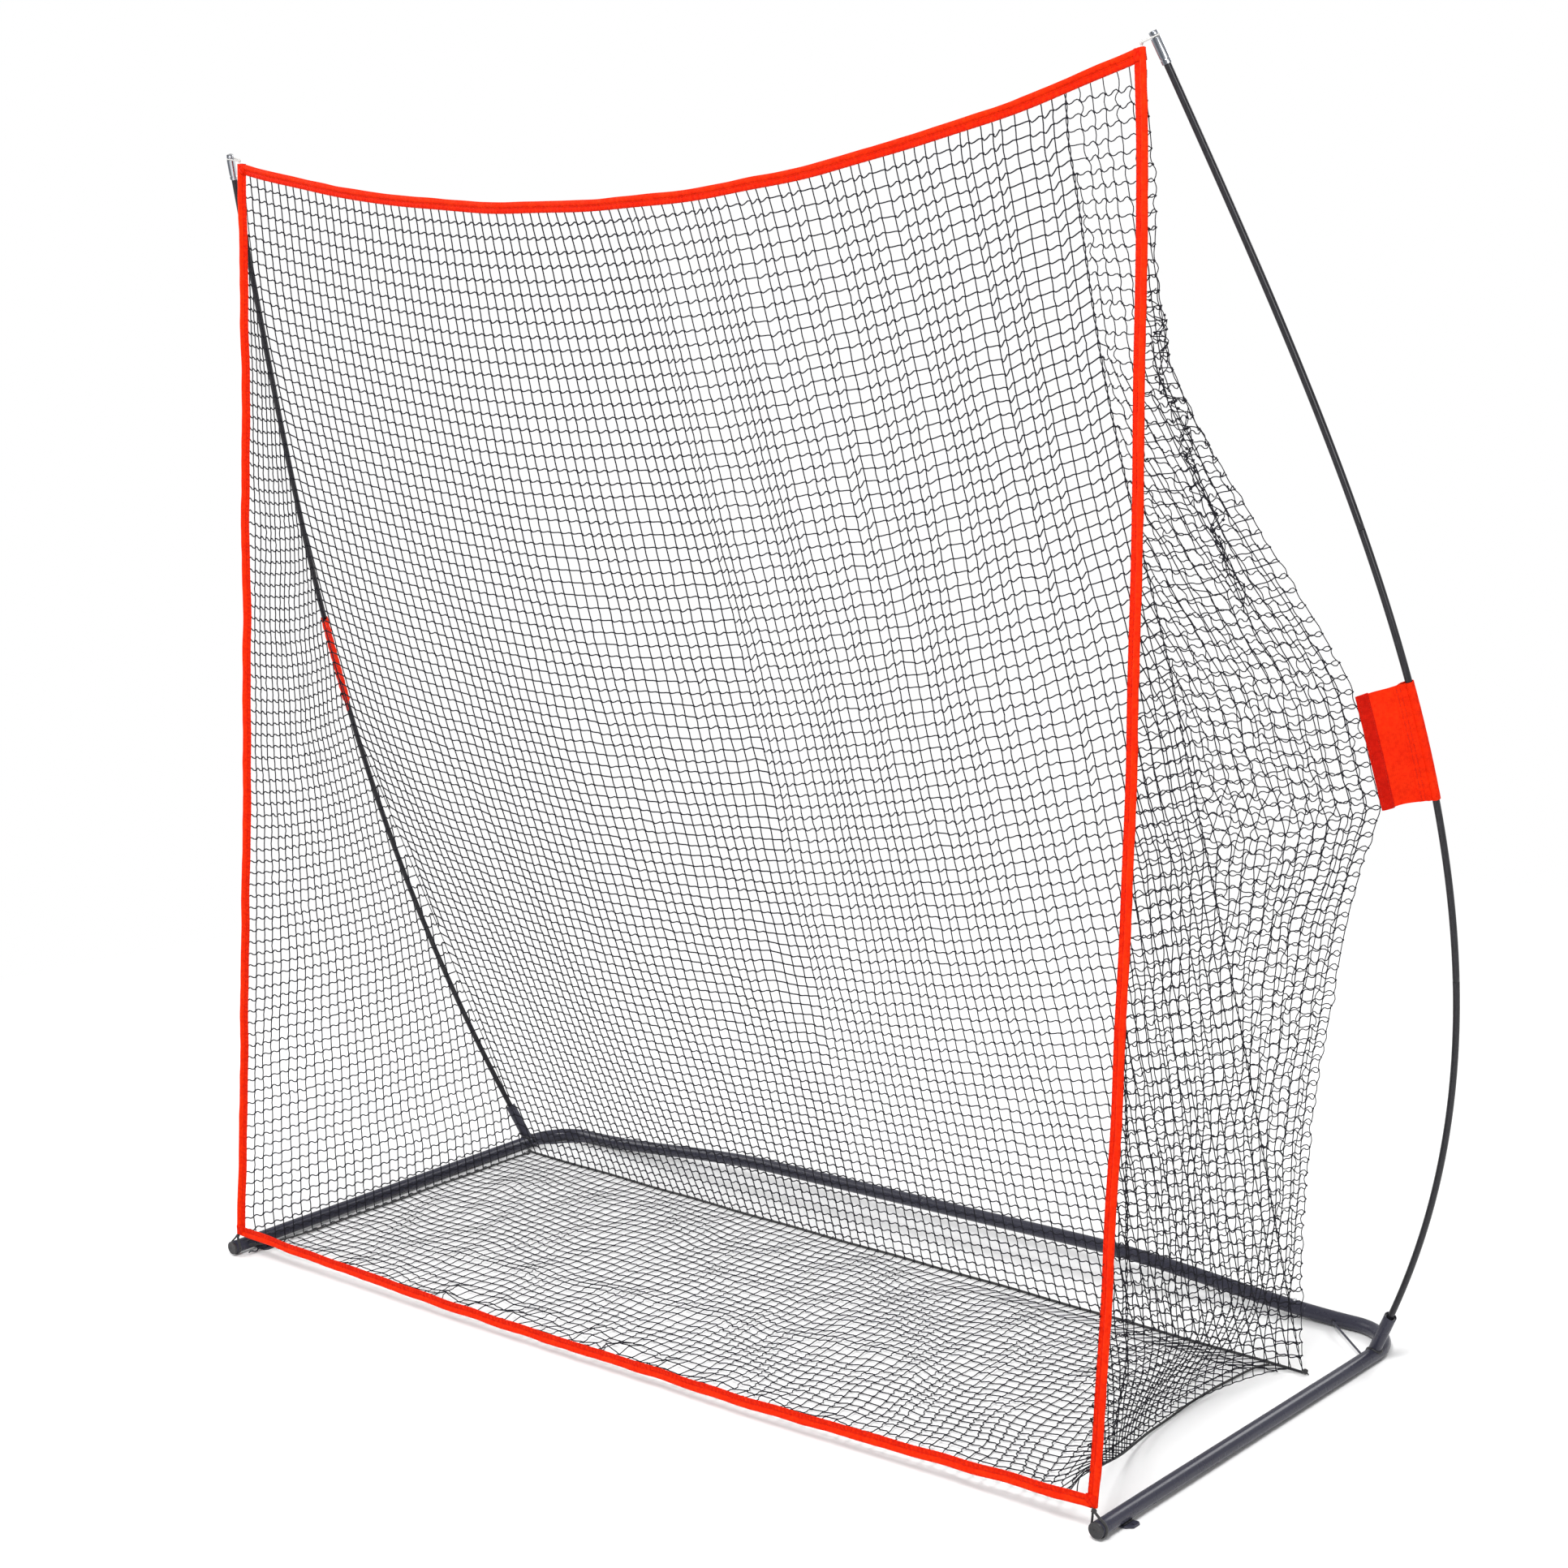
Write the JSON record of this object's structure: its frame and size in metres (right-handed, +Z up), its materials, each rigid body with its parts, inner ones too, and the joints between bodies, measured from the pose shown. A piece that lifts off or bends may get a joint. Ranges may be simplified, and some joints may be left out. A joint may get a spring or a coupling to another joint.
{
  "type": "pitching target net",
  "caption": "Pocket-type pitching and hitting net: a bound knotted net held open by two bowed poles on a U-shaped tube base that lies on the floor.",
  "frame": {"origin": "on the floor, midway between the side tubes, 442 mm behind the open front ends; this is within 10 mm of the centre of the object's box", "axes": "+Z up, the open front faces -Y, +X is to the right when looking along +Y into the opening"},
  "size_m": [2.5966, 0.902, 2.1377],
  "materials": {
    "gunmetal_powder_coat": "satin gunmetal powder coat",
    "black_fibreglass": "glossy black fibreglass",
    "chrome": "bright chrome",
    "spring_steel": "bright spring steel",
    "black_plastic": "moulded matte black",
    "black_elastic": "braided black elastic and cord",
    "white_cord": "braided white cord",
    "orange_red_cloth": "woven orange-red polyester",
    "net_twine": "knotted charcoal twine"
  },
  "bodies": {
    "base": {"bottom_border": "orange_red_cloth", "centre_joint_clip": "spring_steel", "centre_joint_spigot": "gunmetal_powder_coat", "floor_net": "net_twine", "left_bottom_loop": "black_elastic", "left_corner_brace": "gunmetal_powder_coat", "left_crossbar_tube": "gunmetal_powder_coat", "left_end_cap": "black_plastic", "left_floor_cord": "black_elastic", "left_foot_plate": "black_plastic", "left_joint_clip": "spring_steel", "left_joint_spigot": "gunmetal_powder_coat", "left_pole_socket": "gunmetal_powder_coat", "left_side_tube": "gunmetal_powder_coat", "left_socket_bush": "black_plastic", "rear_floor_cord": "black_elastic", "right_bottom_loop": "black_elastic", "right_corner_brace": "gunmetal_powder_coat", "right_crossbar_tube": "gunmetal_powder_coat", "right_end_cap": "black_plastic", "right_floor_cord": "black_elastic", "right_foot_plate": "black_plastic", "right_joint_clip": "spring_steel", "right_joint_spigot": "gunmetal_powder_coat", "right_pole_socket": "gunmetal_powder_coat", "right_side_tube": "gunmetal_powder_coat", "right_socket_bush": "black_plastic"},
    "bow": {"back_net": "net_twine", "left_border": "orange_red_cloth", "left_pole_lower": "black_fibreglass", "left_pole_middle": "black_fibreglass", "left_pole_sleeve": "orange_red_cloth", "left_pole_spigot_lower": "spring_steel", "left_pole_spigot_upper": "spring_steel", "left_pole_upper": "black_fibreglass", "left_side_net": "net_twine", "left_tip_cap": "chrome", "left_top_loop": "white_cord", "right_border": "orange_red_cloth", "right_pole_lower": "black_fibreglass", "right_pole_middle": "black_fibreglass", "right_pole_sleeve": "orange_red_cloth", "right_pole_spigot_lower": "spring_steel", "right_pole_spigot_upper": "spring_steel", "right_pole_upper": "black_fibreglass", "right_side_net": "net_twine", "right_tip_cap": "chrome", "right_top_loop": "white_cord", "top_border": "orange_red_cloth"},
    "left_button": {"left_joint_button": "spring_steel"},
    "centre_button": {"centre_joint_button": "spring_steel"},
    "right_button": {"right_joint_button": "spring_steel"}
  },
  "joints": [
    {"name": "bow_flex", "type": "hinge", "parent": "base", "child": "bow", "pos_m": [0, 0.3439, 0.0722], "axis": [1, 0, 0], "range_deg": [-2, 2], "stiffness_Nm_per_rad": 900, "springref_deg": -0.72},
    {"name": "left_button_press", "type": "slide", "parent": "base", "child": "left_button", "axis": [0, 0, 1], "range_m": [-0.003, 0], "stiffness_N_per_m": 1500},
    {"name": "centre_button_press", "type": "slide", "parent": "base", "child": "centre_button", "axis": [0, 0, 1], "range_m": [-0.003, 0], "stiffness_N_per_m": 1500},
    {"name": "right_button_press", "type": "slide", "parent": "base", "child": "right_button", "axis": [0, 0, 1], "range_m": [-0.003, 0], "stiffness_N_per_m": 1500}
  ]
}
